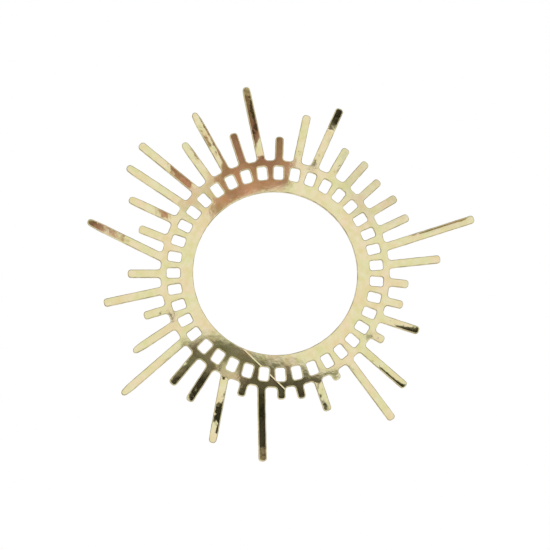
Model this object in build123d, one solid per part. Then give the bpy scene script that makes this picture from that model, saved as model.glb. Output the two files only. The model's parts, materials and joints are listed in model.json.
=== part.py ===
from build123d import *

import os
from math import cos, radians, sin, sqrt

# A sunburst ring: one flat piece cut from thin brass sheet and plated pale gold. A plain inner band, a ring of
# rounded windows and a narrow outer band carry one slim ray outside every window. The rays are uneven by design:
# each has its own reach, and many lean a little to one side.
#
# The ring stands upright. +Z is up, the polished front face looks towards -Y, and the origin is the centre of
# the round centre opening, midway through the sheet. Sizes are in millimetres and degrees. Angles run clockwise
# from the top, as seen from the front.

# The sheet.
SHEET_THICKNESS = 0.5
EDGE_ROUNDING = 0.05  # tumbled edge, all round both faces

# The ring.
CENTRE_OPENING_RADIUS = 10.0
RING_OUTER_RADIUS = 13.95

# The windows, one at every pitch of the ring.
WINDOW_COUNT = 39
FIRST_WINDOW_ANGLE = 2.4
WINDOW_MIDDLE_RADIUS = 12.38
WINDOW_WIDTH = 1.2  # around the ring
WINDOW_HEIGHT = 1.65  # outwards
WINDOW_CORNER_RADIUS = 0.3

# The rays, one outside each window.
RAY_WIDTH = 1.0
RAY_TIP_CORNER_RADIUS = 0.4
RAY_ROOT_FILLET = 0.42
RAY_START_RADIUS = 13.3  # the ray's square end, buried in the outer band
LEAN_PIVOT_RADIUS = 15.0  # a leaning ray turns about this point on its window's middle line

# Each ray in turn, starting with the one outside the first window: the radius that its tip reaches, and its lean,
# positive when the tip leans clockwise.
RAYS = [
    (16.9, 0.0), (20.0, 1.0), (21.9, 3.5), (17.8, 0.5), (17.8, 2.5), (17.2, -0.5), (17.6, 1.5), (17.8, -2.0),
    (25.4, -4.0), (20.3, -1.5), (16.3, 1.5), (16.0, -1.0), (18.8, -4.5), (15.5, -3.0), (20.9, 0.0), (22.7, 3.0),
    (15.0, 0.0), (17.9, 2.5), (15.6, -1.5), (15.4, 2.0), (22.9, -7.5), (15.6, 0.0), (22.0, -14.5), (18.8, -1.5),
    (18.5, -3.5), (23.7, -4.0), (19.7, -6.0), (16.8, 1.5), (21.1, -3.0), (17.9, 0.0), (23.6, 17.0), (17.4, 3.0),
    (19.9, -2.5), (22.2, -3.0), (22.8, -6.5), (19.5, -0.5), (22.1, -3.5), (18.0, -1.5), (23.3, -4.5),
]

# A few rays stand a little to one side of their window's middle line, clockwise when positive.
RAY_SIDE_SHIFTS = {7: 0.1, 11: 0.1, 29: -0.1, 31: -0.2}


def window_angle(index):
    return FIRST_WINDOW_ANGLE + index * 360 / WINDOW_COUNT


def window(index):
    """One rounded window, with its long side pointing outwards."""
    upright = Pos(0, WINDOW_MIDDLE_RADIUS) * RectangleRounded(
        WINDOW_WIDTH, WINDOW_HEIGHT, WINDOW_CORNER_RADIUS
    )
    return Rot(0, 0, -window_angle(index)) * upright


def ray(index):
    """One straight ray with a rounded tip. Its square end lies inside the outer band."""
    tip_radius, lean = RAYS[index]
    shift = RAY_SIDE_SHIFTS.get(index, 0.0)

    # How far the tip lies beyond the pivot, measured along the leaning ray.
    pivot_along_ray = LEAN_PIVOT_RADIUS * cos(radians(lean)) + shift * sin(radians(lean))
    pivot_off_ray_squared = LEAN_PIVOT_RADIUS**2 + shift**2 - pivot_along_ray**2
    beyond_pivot = sqrt(tip_radius**2 - pivot_off_ray_squared) - pivot_along_ray
    before_pivot = LEAN_PIVOT_RADIUS - RAY_START_RADIUS
    length = before_pivot + beyond_pivot

    blank = Pos(0, length / 2 - before_pivot) * Rectangle(RAY_WIDTH, length)
    tip_corners = blank.vertices().group_by(Axis.Y)[-1]
    rounded = fillet(tip_corners, RAY_TIP_CORNER_RADIUS)
    leaning = Pos(shift, LEAN_PIVOT_RADIUS) * Rot(0, 0, -lean) * rounded
    return Rot(0, 0, -window_angle(index)) * leaning


def outline():
    """The face of the sheet: a disc with its rays, filleted at their roots, then pierced."""
    star = Circle(RING_OUTER_RADIUS) + [ray(index) for index in range(WINDOW_COUNT)]
    roots = [
        corner for corner in star.vertices()
        if abs(Vector(*corner).length - RING_OUTER_RADIUS) < 1e-4
    ]
    star = fillet(roots, RAY_ROOT_FILLET)
    pierced = star - Circle(CENTRE_OPENING_RADIUS)
    return pierced - [window(index) for index in range(WINDOW_COUNT)]


def sunburst_ring():
    """The whole piece: the outline given its thickness, with the edges of both faces rounded over."""
    plate = extrude(Plane.XZ * outline(), SHEET_THICKNESS / 2, both=True)
    flat_faces = plate.faces().filter_by(Axis.Y)
    return fillet(flat_faces.edges(), EDGE_ROUNDING)


os.makedirs("parts", exist_ok=True)
export_step(sunburst_ring(), "parts/sunburst_ring.step")
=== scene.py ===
import json
import math

import bpy
import numpy as np
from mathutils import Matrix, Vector, kdtree, noise
from mathutils.geometry import delaunay_2d_cdt


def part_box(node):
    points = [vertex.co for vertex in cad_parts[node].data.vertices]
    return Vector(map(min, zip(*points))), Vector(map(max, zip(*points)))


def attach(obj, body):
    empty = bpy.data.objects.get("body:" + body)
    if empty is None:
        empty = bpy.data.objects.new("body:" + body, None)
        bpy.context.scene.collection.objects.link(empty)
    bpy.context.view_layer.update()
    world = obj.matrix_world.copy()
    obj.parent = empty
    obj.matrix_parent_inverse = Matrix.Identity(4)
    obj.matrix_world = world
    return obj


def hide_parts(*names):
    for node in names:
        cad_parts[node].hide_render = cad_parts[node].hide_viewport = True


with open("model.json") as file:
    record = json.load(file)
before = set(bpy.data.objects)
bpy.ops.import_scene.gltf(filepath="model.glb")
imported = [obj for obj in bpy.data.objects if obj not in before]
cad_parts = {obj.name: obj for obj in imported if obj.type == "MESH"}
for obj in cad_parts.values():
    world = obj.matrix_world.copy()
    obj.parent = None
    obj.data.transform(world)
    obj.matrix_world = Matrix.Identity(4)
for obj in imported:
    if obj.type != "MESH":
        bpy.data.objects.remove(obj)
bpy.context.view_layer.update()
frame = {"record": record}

# The design of the sheet in millimetres and degrees, as in the CAD part. A point in the sheet's plane is
# (x, z), and angles run clockwise from the top, seen from the front.
MM = 0.001
WINDOW_COUNT = 39
FIRST_WINDOW_ANGLE = 2.4
WINDOW_MIDDLE_RADIUS = 12.38
WINDOW_WIDTH = 1.2
WINDOW_HEIGHT = 1.65
WINDOW_CORNER_RADIUS = 0.3
RING_OUTER_RADIUS = 13.95
RAY_WIDTH = 1.0
RAY_TIP_CORNER_RADIUS = 0.4
RAY_ROOT_FILLET = 0.42
LEAN_PIVOT_RADIUS = 15.0

# Each ray's tip radius and its lean, positive when the tip leans clockwise.
RAYS = [
    (16.9, 0.0), (20.0, 1.0), (21.9, 3.5), (17.8, 0.5), (17.8, 2.5), (17.2, -0.5), (17.6, 1.5),
    (17.8, -2.0), (25.4, -4.0), (20.3, -1.5), (16.3, 1.5), (16.0, -1.0), (18.8, -4.5), (15.5, -3.0),
    (20.9, 0.0), (22.7, 3.0), (15.0, 0.0), (17.9, 2.5), (15.6, -1.5), (15.4, 2.0), (22.9, -7.5),
    (15.6, 0.0), (22.0, -14.5), (18.8, -1.5), (18.5, -3.5), (23.7, -4.0), (19.7, -6.0), (16.8, 1.5),
    (21.1, -3.0), (17.9, 0.0), (23.6, 17.0), (17.4, 3.0), (19.9, -2.5), (22.2, -3.0), (22.8, -6.5),
    (19.5, -0.5), (22.1, -3.5), (18.0, -1.5), (23.3, -4.5),
]
RAY_SIDE_SHIFTS = {7: 0.1, 11: 0.1, 29: -0.1, 31: -0.2}

# The cutter has left the tips of some rays narrower than the rest of them, by these shares of their width.
TAPERED_TIPS = {22: 0.15, 25: 0.35, 26: 0.35, 30: 0.25, 32: 0.15, 33: 0.2, 35: 0.2, 36: 0.35, 38: 0.15}
TAPER_LENGTH = 1.8

# The cut edge is a little ragged: (waves in a millimetre, share of the raggedness, layer of the noise).
EDGE_RAGGEDNESS = 0.015
EDGE_WAVES = [(1.3, 1.0, 0.0), (4.0, 0.6, 7.0)]

# The whole ring is slightly wavy: (waves round the ring, height at its rim, angle of a crest).
RING_WARP = [(2, 0.02, 40.0), (3, 0.015, 200.0)]

# Handling has bent the rays, which their reflections show. "tilt" is positive where a ray's face turns
# outwards, "twist" where it turns clockwise, and "roll" where one edge turns down, the clockwise edge when
# positive. "ripple" is how much its face wavers. Each is a list of (share of the ray's length, angle).
BEND_START_RADIUS = 14.2
EASING_LENGTH = 1.0  # the bends come in over this length
RAY_CROWN = 0.25  # every ray's edges turn down this much
RAY_RIPPLE = 0.3  # the ripple of a ray without one of its own
RIPPLE_SIZE = 1.1  # from one ripple to the next
FINE_RIPPLE_RATE = 2.6  # a finer ripple on top, this much closer together
FINE_RIPPLE_SHARE = 0.4  # and this much lower
RAY_BENDS = {
    0: {"twist": [(0.0, -0.15)]},
    1: {"twist": [(0.0, 0.3)]},
    2: {"tilt": [(0.0, 0.0), (0.59, 0.2), (0.63, -6.0), (0.71, -6.5), (0.78, -7.5)],
        "twist": [(0.6, 0.0), (0.75, 0.8)], "ripple": [(0.0, 0.3), (0.6, 0.6)]},
    8: {"roll": [(0.2, 0.0), (0.35, -1.1), (0.85, -1.1), (0.95, -0.5)], "ripple": [(0.0, 0.12)]},
    12: {"tilt": [(0.0, 0.0), (0.25, -0.5), (0.5, -2.5)],
         "twist": [(0.0, 0.0), (0.4, 1.6), (0.7, 2.3), (1.0, 2.9)],
         "roll": [(0.0, 0.0), (0.3, 0.8), (1.0, 1.2)], "ripple": [(0.0, 0.3), (0.5, 0.6)]},
    14: {"tilt": [(0.0, 0.0), (0.3, -0.3), (0.6, -1.7)],
         "twist": [(0.0, 0.0), (0.5, 0.8), (0.75, 0.9), (1.0, 1.6)],
         "roll": [(0.0, 0.0), (0.4, 0.7), (0.6, 1.8), (1.0, 2.2)], "ripple": [(0.0, 0.3), (0.5, 0.6)]},
    17: {"twist": [(0.0, -1.6), (0.4, -0.5), (0.8, -0.15)]},
    20: {"twist": [(0.85, 0.0), (1.0, 0.5)]},
    22: {"twist": [(0.0, 12.0), (0.04, 5.0), (0.12, 2.4), (0.28, 1.75), (0.34, 1.45), (0.4, 1.3), (0.46, 0.3),
                   (0.6, 0.3), (0.7, 1.3), (0.8, 1.9), (1.0, 2.4)],
         "roll": [(0.0, 0.0), (0.3, -0.8), (0.5, 0.5), (0.8, -1.0)],
         "ripple": [(0.0, 0.3), (0.4, 1.0), (0.8, 1.0)]},
    23: {"tilt": [(0.0, 0.0), (0.3, 0.5)], "twist": [(0.3, 0.0), (1.0, 0.3)], "ripple": [(0.0, 0.5)]},
    24: {"tilt": [(0.0, 0.0), (0.3, 0.15)], "ripple": [(0.0, 0.4)]},
    25: {"twist": [(0.0, 0.3)]},
    30: {"tilt": [(0.3, 0.0), (0.5, -1.37), (0.75, -1.66), (0.87, -1.95), (1.0, -2.1)],
         "twist": [(0.3, 0.0), (0.5, 2.2), (0.75, 2.58), (0.87, 3.1), (0.95, 4.1), (1.0, 4.5)],
         "ripple": [(0.0, 0.12)]},
    32: {"tilt": [(0.0, -2.0), (0.18, -1.25), (0.35, -0.9), (0.45, 0.0)],
         "twist": [(0.0, 1.6), (0.18, 0.93), (0.35, 0.7), (0.45, 0.0)],
         "ripple": [(0.0, 0.15)]},
    34: {"tilt": [(0.0, 0.0), (0.1, -0.9), (0.42, -0.9), (0.55, 0.0)],
         "twist": [(0.0, 0.2), (0.1, 0.9), (0.42, 0.9), (0.55, 0.0)]},
    35: {"twist": [(0.0, -0.3)]},
    36: {"twist": [(0.0, 0.0), (0.15, -0.6), (0.35, -0.5), (0.5, -0.3)],
         "roll": [(0.0, 0.0), (0.1, 0.8), (0.5, 0.8), (0.75, 1.1), (0.95, 1.4)], "ripple": [(0.0, 0.3)]},
    38: {"twist": [(0.0, 3.0), (0.11, 1.6), (0.2, 1.2), (0.3, 0.5), (0.4, 0.0), (1.0, -0.1)],
         "roll": [(0.4, 0.0), (0.55, 0.5), (0.85, 0.5), (0.95, 0.2)], "ripple": [(0.0, 0.4)]},
}

# A faint straight crease across the bottom of the ring. It starts at the centre opening and runs off the
# metal at the root of a ray. Its profile is (place across it towards the upper right, front face's height).
CREASE_START = (-4.02, -9.28)
CREASE_DIRECTION = 134.6
CREASE_LENGTH = 8.0
CREASE_FADE = (-3.0, -0.5)  # it fades in between these two places along it, over the opening
CREASE_PROFILE = [
    (-0.15, 0.0), (-0.03, 0.002), (0.12, -0.0021), (1.0, -0.004), (2.0, -0.0053), (3.2, -0.0057), (9.0, 0.0),
]
CREASE_BENDS = 3  # the profile's sharp bends, which come first

# The cut edge: rolled over at the front, nearly sharp at the back.
FRONT_ROUNDING = 0.12
BACK_ROUNDING = 0.04
FRONT_PROFILE_DEGREES = (0.0, 20.0, 42.0, 66.0, 90.0)
BACK_PROFILE_DEGREES = (90.0, 45.0, 0.0)

# How finely the mesh follows the design, and how far apart its kinds of points stay.
STRAIGHT_STEP = 0.16
ARC_STEP = 0.07
RING_ARC_STEP = 0.14
GRID_STEP = 0.26
GRID_MARGIN = 0.1  # between the grid and the rim or the crease
CREASE_STEP = 0.12
CREASE_SHARPNESS = 0.015  # the mesh has a row of points this far to either side of each sharp bend
CREASE_MARGIN = 0.03  # between the crease's points and the rim
MERGE_DISTANCE = 1e-6

# A ray owns the points this many widths to either side of its middle line, from this far before its bends.
OWNED_WIDTHS = 0.75
OWNED_BEFORE = 0.3
BEND_STEPS = 111  # a ray's tilt is added up in this many steps
BEND_END_SHARE = 1.1  # just past the ray's tip
SLOPE_STEP = 1e-3  # slopes are measured over this distance

# The gold plate. Its patterns are noise, by scale: a larger one is finer.
DRIFT_SCALE = 420.0
GRAIN_SCALE = 1500.0
WALL_SCALE = 2500.0
# The rolled edge's painted dark reflection is broken into patches at this scale.
PAINTED_EDGE_SHADE_SCALE = 900.0
PEEL_SCALE = 1300.0
PEEL_HEIGHT = 1.2e-6  # in metres
POLISHED_ROUGHNESS = 0.035
CUT_ROUGHNESS = 0.4

# Light comes from all round. The metal sees it at full strength in this direction, and dimmer away from it.
BRIGHTEST_DIRECTION = (0.0, -0.5, -0.85)
DIMMEST_LIGHT = 0.6

# The floor's height, and the camera: a long lens, low and to the left, looking up at the ring. In metres,
# degrees and, for the lens, millimetres.
FLOOR_HEIGHT = -0.06
FLOOR_SIZE = 12.0
FLOOR_COLOUR = (0.98, 0.98, 0.975)
FLOOR_ROUGHNESS = 0.9
VIEW_PLACE = (-0.0209, -0.2774, -0.0401)
VIEW_TURN = (98.198, 0.6085, -4.2163)
VIEW_LENS = 151.4
VIEW_SHIFT = (-0.0003, -0.0028)
VIEW_NEAREST = 0.01

# The cards that the metal shows stand upright at these places along Y, in metres.
CARD_PLANE = -0.28
NEAR_CARD_PLANE = -0.2795  # just before the others
FAR_CARD_PLANE = -0.2803  # just behind the others
CARD_PATCH_SCALE = 260.0
PLAIN_MOTTLE = (0.55, 1.6)


def opening_radius():
    """Radius of the centre opening in millimetres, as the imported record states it."""
    mounts = {mount["name"]: mount for mount in frame["record"]["mounts"]}
    return mounts["centre_opening"]["dims"]["r_mm"]


def sheet_planes():
    """The front and back faces' places along Y, in millimetres."""
    low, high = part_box("sunburst_ring")
    return low.y / MM, high.y / MM


# ---------------------------------------------------------------------------------------------- the outlines


def pointing(angle):
    turn = math.radians(angle)
    return np.array([math.sin(turn), math.cos(turn)])


def window_angle(index):
    return FIRST_WINDOW_ANGLE + index * 360 / WINDOW_COUNT


def straight(start, end, step=STRAIGHT_STEP):
    """Points from start up to, but not including, end."""
    count = max(1, math.ceil(np.linalg.norm(end - start) / step))
    return [start + (end - start) * i / count for i in range(count)]


def arc(centre, start, end, step=ARC_STEP):
    """Points the short way round a circle from start up to, but not including, end."""
    from_centre = start - centre
    to_end = end - centre
    first = math.atan2(from_centre[1], from_centre[0])
    sweep = math.remainder(math.atan2(to_end[1], to_end[0]) - first, 2 * math.pi)
    radius = np.linalg.norm(from_centre)
    count = max(2, math.ceil(abs(sweep) * radius / step))
    turns = [first + sweep * i / count for i in range(count)]
    return [centre + radius * np.array([math.cos(turn), math.sin(turn)]) for turn in turns]


def ray_line(index):
    """A ray's pivot, its outward direction, its clockwise side and how far its tip lies beyond the pivot."""
    tip_radius, lean = RAYS[index]
    middle_line = pointing(window_angle(index))
    clockwise = np.array([middle_line[1], -middle_line[0]])
    pivot = LEAN_PIVOT_RADIUS * middle_line + RAY_SIDE_SHIFTS.get(index, 0.0) * clockwise
    outward = pointing(window_angle(index) + lean)
    aside = np.array([outward[1], -outward[0]])
    along = pivot @ outward
    beyond = math.sqrt(along**2 - pivot @ pivot + tip_radius**2) - along
    return pivot, outward, aside, beyond


def root_fillet(index, side):
    """Centre of a ray's root fillet on one side, where it leaves the ring, and where it meets the ray."""
    pivot, outward, aside, _ = ray_line(index)
    offset = pivot + side * (RAY_WIDTH / 2 + RAY_ROOT_FILLET) * aside
    reach = RING_OUTER_RADIUS + RAY_ROOT_FILLET
    along = math.sqrt((offset @ outward) ** 2 - offset @ offset + reach**2) - offset @ outward
    centre = offset + along * outward
    return centre, centre * RING_OUTER_RADIUS / reach, centre - side * RAY_ROOT_FILLET * aside


def narrowed(point, index):
    """The point, moved towards the ray's middle line if it lies near a tapered tip."""
    pivot, outward, aside, beyond = ray_line(index)
    nearness = max(0.0, ((point - pivot) @ outward - beyond) / TAPER_LENGTH + 1)
    return point - TAPERED_TIPS.get(index, 0.0) * nearness**2 * ((point - pivot) @ aside) * aside


def ray_outline(index):
    """Points clockwise from one root of a ray to the other, round its tip."""
    pivot, outward, aside, beyond = ray_line(index)
    before_centre, before_ring, before_ray = root_fillet(index, -1)
    after_centre, after_ring, after_ray = root_fillet(index, 1)
    shoulder = pivot + (beyond - RAY_TIP_CORNER_RADIUS) * outward
    half_flat = (RAY_WIDTH / 2 - RAY_TIP_CORNER_RADIUS) * aside
    half_width = RAY_WIDTH / 2 * aside
    rise = RAY_TIP_CORNER_RADIUS * outward
    points = arc(before_centre, before_ring, before_ray)
    points += straight(before_ray, shoulder - half_width)
    points += arc(shoulder - half_flat, shoulder - half_width, shoulder - half_flat + rise)
    points += straight(shoulder - half_flat + rise, shoulder + half_flat + rise)
    points += arc(shoulder + half_flat, shoulder + half_flat + rise, shoulder + half_width)
    points += straight(shoulder + half_width, after_ray)
    points += arc(after_centre, after_ray, after_ring)
    return [narrowed(point, index) for point in points]


def outer_loop():
    """The whole outer outline, clockwise."""
    points = []
    for index in range(WINDOW_COUNT):
        points += ray_outline(index)
        leaving = root_fillet(index, 1)[1]
        arriving = root_fillet((index + 1) % WINDOW_COUNT, -1)[1]
        points += arc(np.zeros(2), leaving, arriving, RING_ARC_STEP)
    return np.array(points)


def window_loop(index):
    """One window, anticlockwise."""
    outward = pointing(window_angle(index))
    aside = np.array([outward[1], -outward[0]])
    middle = WINDOW_MIDDLE_RADIUS * outward
    across = WINDOW_WIDTH / 2 - WINDOW_CORNER_RADIUS
    up = WINDOW_HEIGHT / 2 - WINDOW_CORNER_RADIUS
    radius = WINDOW_CORNER_RADIUS
    points = []
    for right, top in ((-1, 1), (-1, -1), (1, -1), (1, 1)):
        corner = middle + right * across * aside + top * up * outward
        turn_side = right * radius * aside
        turn_top = top * radius * outward
        start, end = (turn_top, turn_side) if right * top < 0 else (turn_side, turn_top)
        to_next = -2 * top * up * outward if right * top < 0 else -2 * right * across * aside
        next_corner = corner + to_next
        points += arc(corner, corner + start, corner + end)
        points += straight(corner + end, next_corner + end)
    return np.array(points)


def opening_loop():
    """The centre opening, anticlockwise."""
    radius = opening_radius()
    count = math.ceil(2 * math.pi * radius / RING_ARC_STEP)
    return np.array([radius * pointing(-360 * i / count) for i in range(count)])


def out_of_metal(loop):
    """Unit normals that point out of the metal, to the left of the way round."""
    ahead = np.roll(loop, -1, axis=0) - np.roll(loop, 1, axis=0)
    ahead /= np.linalg.norm(ahead, axis=1)[:, None]
    return np.column_stack([-ahead[:, 1], ahead[:, 0]])


def roughened(loop):
    """The loop with the small unevenness of a cut edge."""
    stray = np.zeros(len(loop))
    for rate, share, layer in EDGE_WAVES:
        stray += share * np.array([noise.noise(Vector((x * rate, z * rate, layer))) for x, z in loop])
    return loop + EDGE_RAGGEDNESS * stray[:, None] * out_of_metal(loop)


# ---------------------------------------------------------------------------------------------- the relief


def owners(points):
    """Which ray each point belongs to, or -1 on the ring."""
    found = np.full(len(points), -1)
    far = np.hypot(points[:, 0], points[:, 1]) > BEND_START_RADIUS
    for index in range(WINDOW_COUNT):
        pivot, outward, aside, _ = ray_line(index)
        offset = points - pivot
        near = np.abs(offset @ aside) < OWNED_WIDTHS * RAY_WIDTH
        ahead = offset @ outward > BEND_START_RADIUS - LEAN_PIVOT_RADIUS - OWNED_BEFORE
        found[far & near & ahead] = index
    return found


def along_ray(profile, share):
    """An angle that changes evenly between the listed places, as its tangent."""
    places, angles = zip(*profile)
    return np.tan(np.radians(np.interp(share, places, angles)))


def ray_relief(index, points):
    """How far a ray's own bends carry its points backwards."""
    pivot, outward, aside, beyond = ray_line(index)
    start = BEND_START_RADIUS - LEAN_PIVOT_RADIUS
    length = beyond - start
    share = np.clip(((points - pivot) @ outward - start) / length, 0, BEND_END_SHARE)
    across = (points - pivot) @ aside
    bend = RAY_BENDS.get(index, {})
    settled = [(0.0, 0.0)]
    easing = np.clip(share * length / EASING_LENGTH, 0, 1)
    steps = np.linspace(0, BEND_END_SHARE, BEND_STEPS)
    slopes = along_ray(bend.get("tilt", settled), steps) * np.clip(steps * length / EASING_LENGTH, 0, 1)
    climbs = (slopes[1:] + slopes[:-1]) / 2 * np.diff(steps)
    climbed = np.concatenate([[0.0], np.cumsum(climbs)]) * length
    twist = along_ray(bend.get("twist", settled), share) * easing
    roll = along_ray(bend.get("roll", settled), share) * easing
    crown = math.tan(math.radians(RAY_CROWN)) * easing
    rolled = np.clip(np.sign(roll) * across, 0, None)
    ripple = along_ray(bend.get("ripple", [(0.0, RAY_RIPPLE)]), share) * RIPPLE_SIZE / math.pi * easing
    places = [Vector((x, z, 0.0)) / RIPPLE_SIZE for x, z in points]
    waver = np.array([
        noise.noise(place) + FINE_RIPPLE_SHARE * noise.noise(FINE_RIPPLE_RATE * place)
        for place in places
    ])
    return (
        np.interp(share, steps, climbed)
        + ripple * waver
        + twist * across
        + np.abs(roll) * rolled**2 / RAY_WIDTH
        + crown * across**2 / RAY_WIDTH
    )


def crease_axes():
    """The crease's direction, and the direction across it towards the upper right."""
    along = pointing(CREASE_DIRECTION)
    return along, np.array([-along[1], along[0]])


def on_crease(points):
    """How far along the crease each point lies from its start, and how far across it."""
    along, across = crease_axes()
    offset = points - np.array(CREASE_START)
    return offset @ along, offset @ across


def crease_relief(points):
    """How far the crease brings the front face forwards."""
    along, across = on_crease(points)
    places, heights = zip(*CREASE_PROFILE)
    return np.interp(across, places, heights) * np.interp(along, CREASE_FADE, (0, 1))


def relief(points, owner):
    """How far the sheet stands back from its flat plane."""
    radius = np.hypot(points[:, 0], points[:, 1])
    angle = np.degrees(np.arctan2(points[:, 0], points[:, 1]))
    back = -crease_relief(points)
    for waves, height, crest in RING_WARP:
        back += height * radius / RING_OUTER_RADIUS * np.cos(np.radians(waves * (angle - crest)))
    for index in range(WINDOW_COUNT):
        own = owner == index
        back[own] += ray_relief(index, points[own])
    return back


# ---------------------------------------------------------------------------------------------- the mesh


def edge_profile():
    """The cut edge from front to back: inset, place along Y, and the normal's shares outwards and along Y."""
    front, back = sheet_planes()
    rows = []
    for angle in FRONT_PROFILE_DEGREES:
        turn = math.radians(angle)
        inset = FRONT_ROUNDING * (1 - math.sin(turn))
        depth = front + FRONT_ROUNDING * (1 - math.cos(turn))
        rows.append((inset, depth, math.sin(turn), -math.cos(turn)))
    for angle in BACK_PROFILE_DEGREES:
        turn = math.radians(angle)
        inset = BACK_ROUNDING * (1 - math.sin(turn))
        depth = back - BACK_ROUNDING * (1 - math.cos(turn))
        rows.append((inset, depth, math.sin(turn), math.cos(turn)))
    return rows


def depth_in_metal(points, rim, rim_out):
    """How far each point lies inside the metal, square to the nearest rim. It's negative outside it."""
    tree = kdtree.KDTree(len(rim))
    for i, (x, z) in enumerate(rim):
        tree.insert((x, z, 0.0), i)
    tree.balance()
    nearest = [tree.find((x, z, 0.0))[1] for x, z in points]
    return -np.einsum("ij,ij->i", points - rim[nearest], rim_out[nearest])


def crease_points(rim, rim_out):
    """Rows of points inside the metal, close beside the crease's sharp bends."""
    along, across = crease_axes()
    bends = [place for place, _ in CREASE_PROFILE[:CREASE_BENDS]]
    rows = [bend + side * CREASE_SHARPNESS for bend in bends for side in (-1, 1)]
    points = np.array([
        CREASE_START + distance * along + row * across
        for distance in np.arange(0, CREASE_LENGTH, CREASE_STEP)
        for row in rows
    ])
    return points[depth_in_metal(points, rim, rim_out) > CREASE_MARGIN]


def grid_points(rim, rim_out):
    """A triangular grid of points inside the metal, clear of its rim and of the crease."""
    reach = max(tip for tip, _ in RAYS)
    row_step = GRID_STEP * math.sqrt(3) / 2
    rows = math.ceil(reach / row_step)
    columns = math.ceil(reach / GRID_STEP)
    grid = np.array([
        ((column + 0.5 * (row % 2)) * GRID_STEP, row * row_step)
        for row in range(-rows, rows + 1)
        for column in range(-columns, columns + 1)
    ])
    along, across = on_crease(grid)
    near_lines = across > CREASE_PROFILE[0][0] - GRID_MARGIN
    near_lines &= across < CREASE_PROFILE[CREASE_BENDS - 1][0] + GRID_MARGIN
    near_lines &= (along > 0) & (along < CREASE_LENGTH)
    grid = grid[~near_lines]
    return grid[depth_in_metal(grid, rim, rim_out) > GRID_MARGIN]


def face_triangles(loops, outs, loose):
    """Triangles of the face inside the loops, as indices into the loops' points and then the loose ones."""
    edges = []
    start = 0
    for loop in loops:
        count = len(loop)
        edges += [(start + i, start + (i + 1) % count) for i in range(count)]
        start += count
    flat = np.vstack([*loops, loose])
    corners = [Vector(point) for point in flat]
    with_hull = 0
    _, _, faces, sources, _, _ = delaunay_2d_cdt(corners, edges, [], with_hull, MERGE_DISTANCE, True)
    triangles = np.array([[sources[corner][0] for corner in face] for face in faces])
    first, second, third = (flat[triangles[:, i]] for i in range(3))
    # A triangle is metal if its middle is, or if it has a loose corner, as a sliver beside the rim may have.
    inside = depth_in_metal((first + second + third) / 3, flat[:start], np.vstack(outs)) > 0
    inside |= (triangles >= start).any(axis=1)
    clockwise = np.cross(second - first, third - first) < 0
    triangles[clockwise] = triangles[clockwise][:, ::-1]
    return triangles[inside]


def sheet_points(profile, rim, rim_out, loose):
    """The mesh's points before the relief: their flat places, places along Y, normals and shares of cut edge.

    Every row of the edge profile holds all the rim's points. The loose points follow, front face first.
    """
    flat = [rim - inset * rim_out for inset, _, _, _ in profile] + [loose, loose]
    depths = [np.full(len(rim), row[1]) for row in profile]
    depths += [np.full(len(loose), profile[0][1]), np.full(len(loose), profile[-1][1])]
    normals = [
        np.column_stack([out * rim_out[:, 0], np.full(len(rim), y), out * rim_out[:, 1]])
        for _, _, out, y in profile
    ]
    normals += [np.tile([0.0, y, 0.0], (len(loose), 1)) for y in (-1.0, 1.0)]
    cut = [np.full(len(rim), row[2]) for row in profile] + [np.zeros(len(loose))] * 2
    return [np.concatenate(part) for part in (flat, depths, normals, cut)]


def with_relief(flat, depths, normals):
    """The points' places in metres and their normals, after the relief has moved them along Y."""
    owner = owners(flat)
    height = relief(flat, owner)
    slope_x = (relief(flat + [SLOPE_STEP, 0.0], owner) - height) / SLOPE_STEP
    slope_z = (relief(flat + [0.0, SLOPE_STEP], owner) - height) / SLOPE_STEP
    turned = normals.copy()
    turned[:, 0] -= slope_x * normals[:, 1]
    turned[:, 2] -= slope_z * normals[:, 1]
    turned /= np.linalg.norm(turned, axis=1)[:, None]
    places = np.column_stack([flat[:, 0], depths + height, flat[:, 1]]) * MM
    return places, turned


def wall_quads(loops, row_count):
    """Four-sided faces round every outline, from each row of the edge profile to the next."""
    row_length = sum(len(loop) for loop in loops)
    quads = []
    start = 0
    for loop in loops:
        here = start + np.arange(len(loop))
        ahead = start + (np.arange(len(loop)) + 1) % len(loop)
        for row in range(row_count - 1):
            up, down = row * row_length, (row + 1) * row_length
            quads.append(np.column_stack([here + up, ahead + up, ahead + down, here + down]))
        start += len(loop)
    return np.vstack(quads)


def sheet_mesh():
    """The sheet as one closed mesh: two faces and a rounded edge along every outline."""
    loops = [roughened(loop) for loop in (outer_loop(), opening_loop())]
    loops += [roughened(window_loop(index)) for index in range(WINDOW_COUNT)]
    outs = [out_of_metal(loop) for loop in loops]
    rim = np.vstack(loops)
    rim_out = np.vstack(outs)
    face_rim = rim - FRONT_ROUNDING * rim_out
    loose = np.vstack([grid_points(face_rim, rim_out), crease_points(face_rim, rim_out)])
    profile = edge_profile()
    flat, depths, normals, cut = sheet_points(profile, rim, rim_out, loose)
    places, normals = with_relief(flat, depths, normals)

    # The front face's triangles, the same ones turned over for the back, and the walls between them.
    face = face_triangles([loop - FRONT_ROUNDING * out for loop, out in zip(loops, outs)], outs, loose)
    to_last_row = len(rim) * (len(profile) - 1)
    on_rim = face < len(rim)
    front = np.where(on_rim, face, face + to_last_row)
    back = np.where(on_rim, face + to_last_row, face + to_last_row + len(loose))[:, ::-1]
    walls = wall_quads(loops, len(profile))

    mesh = bpy.data.meshes.new("sunburst_sheet")
    mesh.from_pydata(places.tolist(), [], [*front.tolist(), *back.tolist(), *walls.tolist()])
    mesh.polygons.foreach_set("use_smooth", [True] * len(mesh.polygons))
    mesh.normals_split_custom_set_from_vertices(normals.tolist())
    mesh.attributes.new("cut_edge", "FLOAT", "POINT").data.foreach_set("value", cut.astype(np.float32))
    mesh.validate()
    return mesh


# ---------------------------------------------------------------------------------------------- the material


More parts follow.
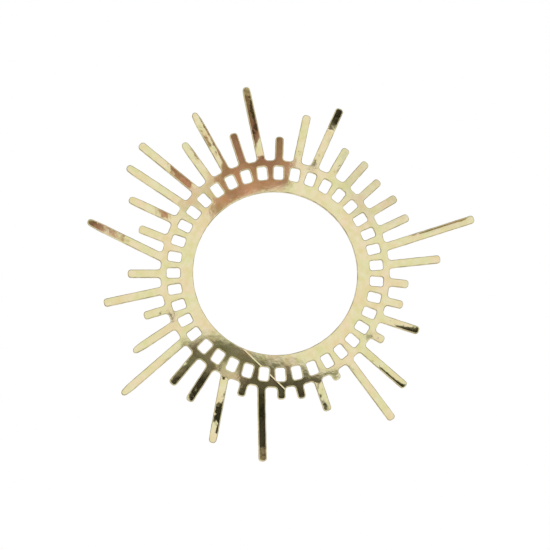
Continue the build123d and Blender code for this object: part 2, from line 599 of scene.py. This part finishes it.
def gold_plate():
    """Pale gold plate, polished almost to a mirror. The cut edges are duller, with a painted dark reflection
    where they roll.
    """
    material = bpy.data.materials.new("gold_plate")
    material.use_nodes = True
    nodes, links = material.node_tree.nodes, material.node_tree.links
    shader = nodes["Principled BSDF"]
    shader.inputs["Metallic"].default_value = 1.0
    place = nodes.new("ShaderNodeTexCoord")

    def noise_texture(scale, detail):
        texture = nodes.new("ShaderNodeTexNoise")
        texture.inputs["Scale"].default_value = scale
        texture.inputs["Detail"].default_value = detail
        links.new(place.outputs["Object"], texture.inputs["Vector"])
        return texture.outputs["Fac"]

    def ramp(source, *stops):
        made = nodes.new("ShaderNodeValToRGB")
        elements = made.color_ramp.elements
        while len(elements) < len(stops):
            elements.new(0.5)
        for element, (position, colour) in zip(elements, stops):
            element.position = position
            element.color = (*colour, 1.0)
        links.new(source, made.inputs["Fac"])
        return made.outputs["Color"]

    def combined(kind, first, second):
        made = nodes.new("ShaderNodeMix")
        made.data_type = "RGBA"
        made.blend_type = kind
        made.inputs["Factor"].default_value = 1.0
        links.new(first, made.inputs["A"])
        links.new(second, made.inputs["B"])
        return made

    def multiplied(first, second):
        return combined("MULTIPLY", first, second).outputs["Result"]

    def blended(factor, first, second):
        made = combined("MIX", first, second)
        links.new(factor, made.inputs["Factor"])
        return made.outputs["Result"]

    # The plating drifts between greenish, champagne and peach, with a fine grain on top.
    black = (0.0, 0.0, 0.0)
    white = (1.0, 1.0, 1.0)
    greenish = (0.765, 0.735, 0.45)
    champagne = (0.81, 0.735, 0.485)
    peach = (0.835, 0.70, 0.48)
    speck = (0.925, 0.91, 0.72)
    drift = ramp(noise_texture(DRIFT_SCALE, 3.0), (0.36, greenish), (0.5, champagne), (0.64, peach))
    grain = ramp(noise_texture(GRAIN_SCALE, 3.0), (0.3, speck), (0.68, white))
    plate = multiplied(drift, grain)

    # The rolled edge is darkened in patches, a painted dark reflection, and the wall behind it is only half
    # polished.
    edge = nodes.new("ShaderNodeAttribute")
    edge.attribute_name = "cut_edge"
    wall_dark = (0.78, 0.7, 0.46)
    wall_light = (0.92, 0.85, 0.61)
    painted_edge_shade_dark = (0.3, 0.25, 0.13)
    painted_edge_shade_light = (0.7, 0.61, 0.37)
    wall = ramp(noise_texture(WALL_SCALE, 2.0), (0.35, wall_dark), (0.65, wall_light))
    painted_edge_shade = ramp(noise_texture(PAINTED_EDGE_SHADE_SCALE, 2.0), (0.38, painted_edge_shade_dark), (0.62, painted_edge_shade_light))
    upright = ramp(edge.outputs["Fac"], (0.93, black), (1.0, white))
    cut = ramp(edge.outputs["Fac"], (0.12, black), (0.55, white))
    links.new(blended(cut, plate, blended(upright, painted_edge_shade, wall)), shader.inputs["Base Color"])
    dull = nodes.new("ShaderNodeMapRange")
    dull.inputs["From Min"].default_value = 0.2
    dull.inputs["To Min"].default_value = POLISHED_ROUGHNESS
    dull.inputs["To Max"].default_value = CUT_ROUGHNESS
    links.new(edge.outputs["Fac"], dull.inputs["Value"])
    links.new(dull.outputs["Result"], shader.inputs["Roughness"])

    # Orange peel and fine polishing marks, which break up the borders of what the sheet reflects.
    peel = nodes.new("ShaderNodeBump")
    peel.inputs["Strength"].default_value = 1.0
    peel.inputs["Distance"].default_value = PEEL_HEIGHT
    links.new(noise_texture(PEEL_SCALE, 2.0), peel.inputs["Height"])
    links.new(peel.outputs["Normal"], shader.inputs["Normal"])
    return material


# ---------------------------------------------------------------------------------------------- the studio


def card_mesh(name, corners, softness, plane):
    """A flat shape inside a border, with its "cover" falling from 1 to 0 across the border."""
    solid = np.array(corners, dtype=float)
    before = solid - np.roll(solid, 1, axis=0)
    after = np.roll(solid, -1, axis=0) - solid
    lean = before / np.linalg.norm(before, axis=1)[:, None]
    lean += after / np.linalg.norm(after, axis=1)[:, None]
    lean /= np.linalg.norm(lean, axis=1)[:, None]
    faded = solid + softness * np.column_stack([-lean[:, 1], lean[:, 0]])
    count = len(solid)
    mesh = bpy.data.meshes.new(name)
    border = [(i, (i + 1) % count, count + (i + 1) % count, count + i) for i in range(count)]
    places = [(x * MM, plane, z * MM) for x, z in [*solid, *faded]]
    mesh.from_pydata(places, [], [tuple(range(count)), *border])
    mesh.attributes.new("cover", "FLOAT", "POINT").data.foreach_set("value", [1.0] * count + [0.0] * count)
    return mesh


def card_material(name, shades, mottle):
    """A glow in the card's shades, broken up into patches, which turns clear where the cover ends."""
    material = bpy.data.materials.new(name)
    material.use_nodes = True
    nodes, links = material.node_tree.nodes, material.node_tree.links
    nodes.remove(nodes["Principled BSDF"])
    place = nodes.new("ShaderNodeTexCoord")

    # The colour follows the height.
    parts = nodes.new("ShaderNodeSeparateXYZ")
    links.new(place.outputs["Object"], parts.inputs["Vector"])
    height = nodes.new("ShaderNodeMapRange")
    lowest, highest = shades[0][0], shades[-1][0]
    height.inputs["From Min"].default_value = lowest * MM
    height.inputs["From Max"].default_value = highest * MM
    links.new(parts.outputs["Z"], height.inputs["Value"])
    ramp = nodes.new("ShaderNodeValToRGB")
    while len(ramp.color_ramp.elements) < len(shades):
        ramp.color_ramp.elements.new(0.5)
    for element, (level, colour) in zip(ramp.color_ramp.elements, shades):
        element.position = (level - lowest) / (highest - lowest)
        element.color = (*colour, 1.0)
    links.new(height.outputs["Result"], ramp.inputs["Fac"])

    # The strength follows the patches.
    patches = nodes.new("ShaderNodeTexNoise")
    patches.inputs["Scale"].default_value = CARD_PATCH_SCALE
    patches.inputs["Detail"].default_value = 2.0
    links.new(place.outputs["Object"], patches.inputs["Vector"])
    patchy = nodes.new("ShaderNodeMapRange")
    patchy.inputs["From Min"].default_value = 0.3
    patchy.inputs["From Max"].default_value = 0.7
    patchy.inputs["To Min"].default_value = mottle[0]
    patchy.inputs["To Max"].default_value = mottle[1]
    links.new(patches.outputs["Fac"], patchy.inputs["Value"])
    glow = nodes.new("ShaderNodeEmission")
    links.new(ramp.outputs["Color"], glow.inputs["Color"])
    links.new(patchy.outputs["Result"], glow.inputs["Strength"])

    # The card fades out with its cover.
    cover = nodes.new("ShaderNodeAttribute")
    cover.attribute_name = "cover"
    clear = nodes.new("ShaderNodeBsdfTransparent")
    fade = nodes.new("ShaderNodeMixShader")
    links.new(cover.outputs["Fac"], fade.inputs["Fac"])
    links.new(clear.outputs["BSDF"], fade.inputs[1])
    links.new(glow.outputs["Emission"], fade.inputs[2])
    links.new(fade.outputs["Shader"], nodes["Material Output"].inputs["Surface"])
    return material


def card(name, corners, softness, shades, plane=CARD_PLANE, mottle=PLAIN_MOTTLE):
    """A card that only the metal sees, as a photographer's flag, which fades out over a soft border.

    Its corners are (x, z) in millimetres, clockwise. Its shades are (height, colour), from the lowest up, and
    its mottle is how much darker and lighter than those its patches are.
    """
    made = bpy.data.objects.new(name, card_mesh(name, corners, softness, plane))
    bpy.context.scene.collection.objects.link(made)
    made.data.materials.append(card_material(name, shades, mottle))
    made.visible_camera = False
    made.visible_diffuse = False
    made.visible_shadow = False


def studio_light():
    """Soft white light from all round. The metal sees it a little dimmer overhead and behind itself."""
    world = bpy.data.worlds.new("studio")
    bpy.context.scene.world = world
    world.use_nodes = True
    nodes, links = world.node_tree.nodes, world.node_tree.links
    direction = nodes.new("ShaderNodeTexCoord")
    dome = nodes.new("ShaderNodeVectorMath")
    dome.operation = "DOT_PRODUCT"
    dome.inputs[1].default_value = BRIGHTEST_DIRECTION
    links.new(direction.outputs["Generated"], dome.inputs[0])
    shade = nodes.new("ShaderNodeMapRange")
    shade.interpolation_type = "SMOOTHSTEP"
    shade.inputs["From Min"].default_value = -1.0
    shade.inputs["From Max"].default_value = 0.3
    shade.inputs["To Min"].default_value = DIMMEST_LIGHT
    shade.inputs["To Max"].default_value = 1.0
    links.new(dome.outputs["Value"], shade.inputs["Value"])
    seen = nodes.new("ShaderNodeLightPath")
    chosen = nodes.new("ShaderNodeMix")
    chosen.inputs["A"].default_value = 1.0
    links.new(seen.outputs["Is Glossy Ray"], chosen.inputs["Factor"])
    links.new(shade.outputs["Result"], chosen.inputs["B"])
    links.new(chosen.outputs["Result"], nodes["Background"].inputs["Strength"])
    nodes["Background"].inputs["Color"].default_value = (1.0, 1.0, 1.0, 1.0)
    bpy.context.scene.view_settings.view_transform = "Standard"


def pale_floor():
    """A plain floor, which the metal doesn't show."""
    bpy.ops.mesh.primitive_plane_add(size=FLOOR_SIZE, location=(0, 0, FLOOR_HEIGHT))
    floor = bpy.context.object
    floor.name = "floor"
    paint = bpy.data.materials.new("floor")
    paint.use_nodes = True
    shader = paint.node_tree.nodes["Principled BSDF"]
    shader.inputs["Base Color"].default_value = (*FLOOR_COLOUR, 1.0)
    shader.inputs["Roughness"].default_value = FLOOR_ROUGHNESS
    floor.data.materials.append(paint)
    floor.visible_glossy = False


def side_flags():
    """Large dim flags low at both sides, in front and behind, which the metal shows from other angles."""
    shades = [(-200, (0.1, 0.085, 0.06)), (100, (0.2, 0.17, 0.12))]
    front = np.array([(-205, -150), (-205, -92), (-160, -84), (-142, -110), (-150, -150)])
    behind = np.array([(150, -100), (150, -66), (166, -44), (205, -58), (205, -100)])
    for side in (-1, 1):
        mirror = (side, 1)
        card("front_flag", (front * mirror)[::side], 14.0, shades, plane=-0.15)
        card("back_flag", (behind * mirror)[::side], 14.0, shades, plane=0.15)


def reflected_cards():
    """What the front face shows to the camera.

    A flat sheet's point (x, z) shows the cards' point (21 + 2x, 40 + 2z). A bent ray shows a place further
    off, by nearly 10 mm for each degree.
    """
    # The dark zone at the lower left, with a streak beside it and one pale gap at a ray's root.
    card("dark_flag", [(31, -6), (-6, -6), (-5.6, 10), (-3.6, 15), (-0.6, 19.5), (6, 21.7), (11, 21.2),
                       (16.5, 18.3), (22, 16), (31, 13)], 2.5,
         [(-6, (0.27, 0.24, 0.185)), (-4, (0.15, 0.13, 0.095)), (-2.5, (0.06, 0.058, 0.045)),
          (6, (0.03, 0.029, 0.023)), (10, (0.045, 0.043, 0.033)), (13, (0.11, 0.105, 0.082)),
          (16, (0.165, 0.155, 0.12)), (21, (0.18, 0.17, 0.135))])
    card("dark_streak", [(29, 13.9), (29, 14.7), (33.5, 15.9), (36.5, 17.2), (36.5, 17.0), (34, 15.3)], 0.4,
         [(14, (0.04, 0.035, 0.025)), (19, (0.05, 0.04, 0.03))])
    card("pale_gap", [(7.2, 12.4), (6.9, 17.1), (10.0, 17.4), (10.2, 12.8)], 0.8,
         [(14, (0.72, 0.67, 0.64)), (18, (0.72, 0.67, 0.64))], plane=NEAR_CARD_PLANE, mottle=(0.7, 1.2))

    # The warm zone at the upper left, with its darker marks, and the tan around it.
    card("warm_flag", [(7.5, 62), (7, 74), (10, 88), (20, 88), (26, 76), (25.5, 65), (24.5, 62.3),
                       (16, 60.7), (11, 58.4), (6.5, 54.6)], 1.5,
         [(54, (0.62, 0.38, 0.31)), (58, (0.6, 0.35, 0.285)), (61, (0.53, 0.315, 0.26)),
          (66, (0.46, 0.27, 0.23)), (71, (0.36, 0.215, 0.185)), (75, (0.3, 0.172, 0.148)),
          (82.5, (0.2, 0.124, 0.103)), (86.5, (0.42, 0.38, 0.27))], mottle=(0.75, 1.3))
    card("smudge", [(16.3, 76), (15.6, 84), (19, 85), (20, 76)], 0.8,
         [(75, (0.06, 0.045, 0.03)), (86, (0.05, 0.04, 0.03))], plane=NEAR_CARD_PLANE)
    card("brown_streak", [(0.9, 68.2), (-1.7, 72.8), (0.6, 74.1), (3.2, 69.4)], 0.5,
         [(68, (0.4, 0.27, 0.18)), (74, (0.26, 0.18, 0.12))], plane=NEAR_CARD_PLANE)
    card("tan_haze", [(0.5, 55.7), (-1.3, 57.8), (7.3, 65), (9.1, 62.9)], 1.8,
         [(56, (0.84, 0.75, 0.72)), (65, (0.84, 0.75, 0.72))], plane=FAR_CARD_PLANE, mottle=(0.92, 1.06))

    # A faint haze at the upper right and the line along the longest ray.
    card("haze", [(42.5, 53), (41, 64), (38, 80), (56, 80), (68, 64), (68, 53)], 3.0,
         [(53, (0.95, 0.95, 0.97)), (60, (0.9, 0.9, 0.94)), (80, (0.9, 0.9, 0.94))], mottle=(0.9, 1.08))
    card("brown_edge", [(55.3, 56.6), (54, 61.8), (66.1, 64.8), (67.4, 59.6)], 0.8,
         [(56, (0.36, 0.28, 0.19)), (62, (0.3, 0.22, 0.14))], plane=NEAR_CARD_PLANE)

    # Small square marks at the roots of four rays: (name, middle, half width).
    marks = [
        ("upper_mark", (31.6, 67.3), 0.9),
        ("side_mark", (38.9, 65.2), 0.6),
        ("lower_mark", (43.9, 26.6), 0.6),
        ("left_mark", (-3.9, 27.5), 0.95),
    ]
    for name, place, reach in marks:
        square = np.array([(-reach, -reach), (-reach, reach), (reach, reach), (reach, -reach)]) + place
        card(name, square, 0.4, [(60, (0.1, 0.08, 0.05)), (70, (0.1, 0.08, 0.05))], plane=NEAR_CARD_PLANE)


def camera():
    data = bpy.data.cameras.new("camera")
    data.lens = VIEW_LENS
    data.shift_x, data.shift_y = VIEW_SHIFT
    data.clip_start = VIEW_NEAREST
    made = bpy.data.objects.new("camera", data)
    made.location = VIEW_PLACE
    made.rotation_euler = [math.radians(angle) for angle in VIEW_TURN]
    bpy.context.scene.collection.objects.link(made)
    bpy.context.scene.camera = made


camera()
studio_light()
pale_floor()
side_flags()
reflected_cards()
sheet = bpy.data.objects.new("sunburst_sheet", sheet_mesh())
bpy.context.scene.collection.objects.link(sheet)
sheet.data.materials.append(gold_plate())
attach(sheet, "root")
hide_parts("sunburst_ring")
